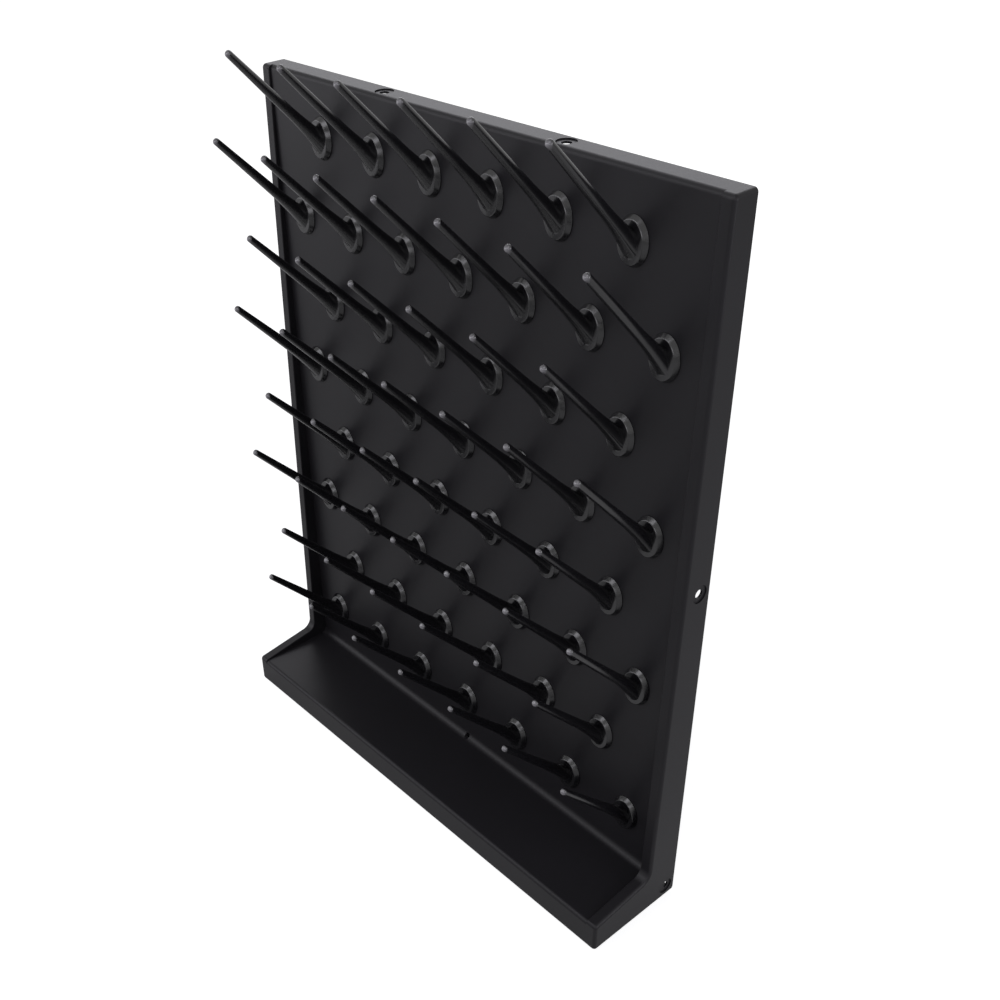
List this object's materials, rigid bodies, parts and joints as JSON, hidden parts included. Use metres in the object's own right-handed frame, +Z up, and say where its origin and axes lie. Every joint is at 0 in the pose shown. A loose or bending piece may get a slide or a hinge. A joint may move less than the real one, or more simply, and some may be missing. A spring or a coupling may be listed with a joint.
{
  "type": "laboratory drying rack",
  "caption": "Upright drying rack: a moulded pegboard with leaning side lips, staggered rows of removable slanting pegs and a drip tray with a drain at the foot of the panel.",
  "frame": {"origin": "on the bench, under the middle of the rack's overall box", "axes": "+Z up, front with the pegs and the tray towards -Y, flat hollow back towards +Y, +X to the right seen from the front"},
  "size_m": [0.55, 0.115, 0.739],
  "materials": {
    "board": "near-black injection-moulded polypropylene, satin, with a faint moulded grain",
    "peg": "black injection-moulded polypropylene, smooth with a soft gloss"
  },
  "bodies": {
    "board": {"backboard": "board"},
    "peg_r1_c1": {"peg_r1_c1": "peg"},
    "peg_r1_c2": {"peg_r1_c2": "peg"},
    "peg_r1_c3": {"peg_r1_c3": "peg"},
    "peg_r1_c4": {"peg_r1_c4": "peg"},
    "peg_r1_c5": {"peg_r1_c5": "peg"},
    "peg_r1_c6": {"peg_r1_c6": "peg"},
    "peg_r2_c1": {"peg_r2_c1": "peg"},
    "peg_r2_c2": {"peg_r2_c2": "peg"},
    "peg_r2_c3": {"peg_r2_c3": "peg"},
    "peg_r2_c4": {"peg_r2_c4": "peg"},
    "peg_r2_c5": {"peg_r2_c5": "peg"},
    "peg_r2_c6": {"peg_r2_c6": "peg"},
    "peg_r2_c7": {"peg_r2_c7": "peg"},
    "peg_r3_c1": {"peg_r3_c1": "peg"},
    "peg_r3_c2": {"peg_r3_c2": "peg"},
    "peg_r3_c3": {"peg_r3_c3": "peg"},
    "peg_r3_c4": {"peg_r3_c4": "peg"},
    "peg_r3_c5": {"peg_r3_c5": "peg"},
    "peg_r3_c6": {"peg_r3_c6": "peg"},
    "peg_r4_c1": {"peg_r4_c1": "peg"},
    "peg_r4_c2": {"peg_r4_c2": "peg"},
    "peg_r4_c3": {"peg_r4_c3": "peg"},
    "peg_r4_c4": {"peg_r4_c4": "peg"},
    "peg_r4_c5": {"peg_r4_c5": "peg"},
    "peg_r4_c6": {"peg_r4_c6": "peg"},
    "peg_r4_c7": {"peg_r4_c7": "peg"},
    "peg_r5_c1": {"peg_r5_c1": "peg"},
    "peg_r5_c2": {"peg_r5_c2": "peg"},
    "peg_r5_c3": {"peg_r5_c3": "peg"},
    "peg_r5_c4": {"peg_r5_c4": "peg"},
    "peg_r5_c5": {"peg_r5_c5": "peg"},
    "peg_r5_c6": {"peg_r5_c6": "peg"},
    "peg_r6_c1": {"peg_r6_c1": "peg"},
    "peg_r6_c2": {"peg_r6_c2": "peg"},
    "peg_r6_c3": {"peg_r6_c3": "peg"},
    "peg_r6_c4": {"peg_r6_c4": "peg"},
    "peg_r6_c5": {"peg_r6_c5": "peg"},
    "peg_r6_c6": {"peg_r6_c6": "peg"},
    "peg_r6_c7": {"peg_r6_c7": "peg"},
    "peg_r7_c1": {"peg_r7_c1": "peg"},
    "peg_r7_c2": {"peg_r7_c2": "peg"},
    "peg_r7_c3": {"peg_r7_c3": "peg"},
    "peg_r7_c4": {"peg_r7_c4": "peg"},
    "peg_r7_c5": {"peg_r7_c5": "peg"},
    "peg_r7_c6": {"peg_r7_c6": "peg"},
    "peg_r8_c1": {"peg_r8_c1": "peg"},
    "peg_r8_c2": {"peg_r8_c2": "peg"},
    "peg_r8_c3": {"peg_r8_c3": "peg"},
    "peg_r8_c4": {"peg_r8_c4": "peg"},
    "peg_r8_c5": {"peg_r8_c5": "peg"},
    "peg_r8_c6": {"peg_r8_c6": "peg"},
    "peg_r8_c7": {"peg_r8_c7": "peg"}
  },
  "joints": [
    {"name": "peg_r1_c1_pull", "type": "slide", "parent": "board", "child": "peg_r1_c1", "axis": [0, -1, 0], "range_m": [0, 0.014]},
    {"name": "peg_r1_c2_pull", "type": "slide", "parent": "board", "child": "peg_r1_c2", "axis": [0, -1, 0], "range_m": [0, 0.014]},
    {"name": "peg_r1_c3_pull", "type": "slide", "parent": "board", "child": "peg_r1_c3", "axis": [0, -1, 0], "range_m": [0, 0.014]},
    {"name": "peg_r1_c4_pull", "type": "slide", "parent": "board", "child": "peg_r1_c4", "axis": [0, -1, 0], "range_m": [0, 0.014]},
    {"name": "peg_r1_c5_pull", "type": "slide", "parent": "board", "child": "peg_r1_c5", "axis": [0, -1, 0], "range_m": [0, 0.014]},
    {"name": "peg_r1_c6_pull", "type": "slide", "parent": "board", "child": "peg_r1_c6", "axis": [0, -1, 0], "range_m": [0, 0.014]},
    {"name": "peg_r2_c1_pull", "type": "slide", "parent": "board", "child": "peg_r2_c1", "axis": [0, -1, 0], "range_m": [0, 0.014]},
    {"name": "peg_r2_c2_pull", "type": "slide", "parent": "board", "child": "peg_r2_c2", "axis": [0, -1, 0], "range_m": [0, 0.014]},
    {"name": "peg_r2_c3_pull", "type": "slide", "parent": "board", "child": "peg_r2_c3", "axis": [0, -1, 0], "range_m": [0, 0.014]},
    {"name": "peg_r2_c4_pull", "type": "slide", "parent": "board", "child": "peg_r2_c4", "axis": [0, -1, 0], "range_m": [0, 0.014]},
    {"name": "peg_r2_c5_pull", "type": "slide", "parent": "board", "child": "peg_r2_c5", "axis": [0, -1, 0], "range_m": [0, 0.014]},
    {"name": "peg_r2_c6_pull", "type": "slide", "parent": "board", "child": "peg_r2_c6", "axis": [0, -1, 0], "range_m": [0, 0.014]},
    {"name": "peg_r2_c7_pull", "type": "slide", "parent": "board", "child": "peg_r2_c7", "axis": [0, -1, 0], "range_m": [0, 0.014]},
    {"name": "peg_r3_c1_pull", "type": "slide", "parent": "board", "child": "peg_r3_c1", "axis": [0, -1, 0], "range_m": [0, 0.014]},
    {"name": "peg_r3_c2_pull", "type": "slide", "parent": "board", "child": "peg_r3_c2", "axis": [0, -1, 0], "range_m": [0, 0.014]},
    {"name": "peg_r3_c3_pull", "type": "slide", "parent": "board", "child": "peg_r3_c3", "axis": [0, -1, 0], "range_m": [0, 0.014]},
    {"name": "peg_r3_c4_pull", "type": "slide", "parent": "board", "child": "peg_r3_c4", "axis": [0, -1, 0], "range_m": [0, 0.014]},
    {"name": "peg_r3_c5_pull", "type": "slide", "parent": "board", "child": "peg_r3_c5", "axis": [0, -1, 0], "range_m": [0, 0.014]},
    {"name": "peg_r3_c6_pull", "type": "slide", "parent": "board", "child": "peg_r3_c6", "axis": [0, -1, 0], "range_m": [0, 0.014]},
    {"name": "peg_r4_c1_pull", "type": "slide", "parent": "board", "child": "peg_r4_c1", "axis": [0, -1, 0], "range_m": [0, 0.014]},
    {"name": "peg_r4_c2_pull", "type": "slide", "parent": "board", "child": "peg_r4_c2", "axis": [0, -1, 0], "range_m": [0, 0.014]},
    {"name": "peg_r4_c3_pull", "type": "slide", "parent": "board", "child": "peg_r4_c3", "axis": [0, -1, 0], "range_m": [0, 0.014]},
    {"name": "peg_r4_c4_pull", "type": "slide", "parent": "board", "child": "peg_r4_c4", "axis": [0, -1, 0], "range_m": [0, 0.014]},
    {"name": "peg_r4_c5_pull", "type": "slide", "parent": "board", "child": "peg_r4_c5", "axis": [0, -1, 0], "range_m": [0, 0.014]},
    {"name": "peg_r4_c6_pull", "type": "slide", "parent": "board", "child": "peg_r4_c6", "axis": [0, -1, 0], "range_m": [0, 0.014]},
    {"name": "peg_r4_c7_pull", "type": "slide", "parent": "board", "child": "peg_r4_c7", "axis": [0, -1, 0], "range_m": [0, 0.014]},
    {"name": "peg_r5_c1_pull", "type": "slide", "parent": "board", "child": "peg_r5_c1", "axis": [0, -1, 0], "range_m": [0, 0.014]},
    {"name": "peg_r5_c2_pull", "type": "slide", "parent": "board", "child": "peg_r5_c2", "axis": [0, -1, 0], "range_m": [0, 0.014]},
    {"name": "peg_r5_c3_pull", "type": "slide", "parent": "board", "child": "peg_r5_c3", "axis": [0, -1, 0], "range_m": [0, 0.014]},
    {"name": "peg_r5_c4_pull", "type": "slide", "parent": "board", "child": "peg_r5_c4", "axis": [0, -1, 0], "range_m": [0, 0.014]},
    {"name": "peg_r5_c5_pull", "type": "slide", "parent": "board", "child": "peg_r5_c5", "axis": [0, -1, 0], "range_m": [0, 0.014]},
    {"name": "peg_r5_c6_pull", "type": "slide", "parent": "board", "child": "peg_r5_c6", "axis": [0, -1, 0], "range_m": [0, 0.014]},
    {"name": "peg_r6_c1_pull", "type": "slide", "parent": "board", "child": "peg_r6_c1", "axis": [0, -1, 0], "range_m": [0, 0.014]},
    {"name": "peg_r6_c2_pull", "type": "slide", "parent": "board", "child": "peg_r6_c2", "axis": [0, -1, 0], "range_m": [0, 0.014]},
    {"name": "peg_r6_c3_pull", "type": "slide", "parent": "board", "child": "peg_r6_c3", "axis": [0, -1, 0], "range_m": [0, 0.014]},
    {"name": "peg_r6_c4_pull", "type": "slide", "parent": "board", "child": "peg_r6_c4", "axis": [0, -1, 0], "range_m": [0, 0.014]},
    {"name": "peg_r6_c5_pull", "type": "slide", "parent": "board", "child": "peg_r6_c5", "axis": [0, -1, 0], "range_m": [0, 0.014]},
    {"name": "peg_r6_c6_pull", "type": "slide", "parent": "board", "child": "peg_r6_c6", "axis": [0, -1, 0], "range_m": [0, 0.014]},
    {"name": "peg_r6_c7_pull", "type": "slide", "parent": "board", "child": "peg_r6_c7", "axis": [0, -1, 0], "range_m": [0, 0.014]},
    {"name": "peg_r7_c1_pull", "type": "slide", "parent": "board", "child": "peg_r7_c1", "axis": [0, -1, 0], "range_m": [0, 0.014]},
    {"name": "peg_r7_c2_pull", "type": "slide", "parent": "board", "child": "peg_r7_c2", "axis": [0, -1, 0], "range_m": [0, 0.014]},
    {"name": "peg_r7_c3_pull", "type": "slide", "parent": "board", "child": "peg_r7_c3", "axis": [0, -1, 0], "range_m": [0, 0.014]},
    {"name": "peg_r7_c4_pull", "type": "slide", "parent": "board", "child": "peg_r7_c4", "axis": [0, -1, 0], "range_m": [0, 0.014]},
    {"name": "peg_r7_c5_pull", "type": "slide", "parent": "board", "child": "peg_r7_c5", "axis": [0, -1, 0], "range_m": [0, 0.014]},
    {"name": "peg_r7_c6_pull", "type": "slide", "parent": "board", "child": "peg_r7_c6", "axis": [0, -1, 0], "range_m": [0, 0.014]},
    {"name": "peg_r8_c1_pull", "type": "slide", "parent": "board", "child": "peg_r8_c1", "axis": [0, -1, 0], "range_m": [0, 0.014]},
    {"name": "peg_r8_c2_pull", "type": "slide", "parent": "board", "child": "peg_r8_c2", "axis": [0, -1, 0], "range_m": [0, 0.014]},
    {"name": "peg_r8_c3_pull", "type": "slide", "parent": "board", "child": "peg_r8_c3", "axis": [0, -1, 0], "range_m": [0, 0.014]},
    {"name": "peg_r8_c4_pull", "type": "slide", "parent": "board", "child": "peg_r8_c4", "axis": [0, -1, 0], "range_m": [0, 0.014]},
    {"name": "peg_r8_c5_pull", "type": "slide", "parent": "board", "child": "peg_r8_c5", "axis": [0, -1, 0], "range_m": [0, 0.014]},
    {"name": "peg_r8_c6_pull", "type": "slide", "parent": "board", "child": "peg_r8_c6", "axis": [0, -1, 0], "range_m": [0, 0.014]},
    {"name": "peg_r8_c7_pull", "type": "slide", "parent": "board", "child": "peg_r8_c7", "axis": [0, -1, 0], "range_m": [0, 0.014]}
  ]
}
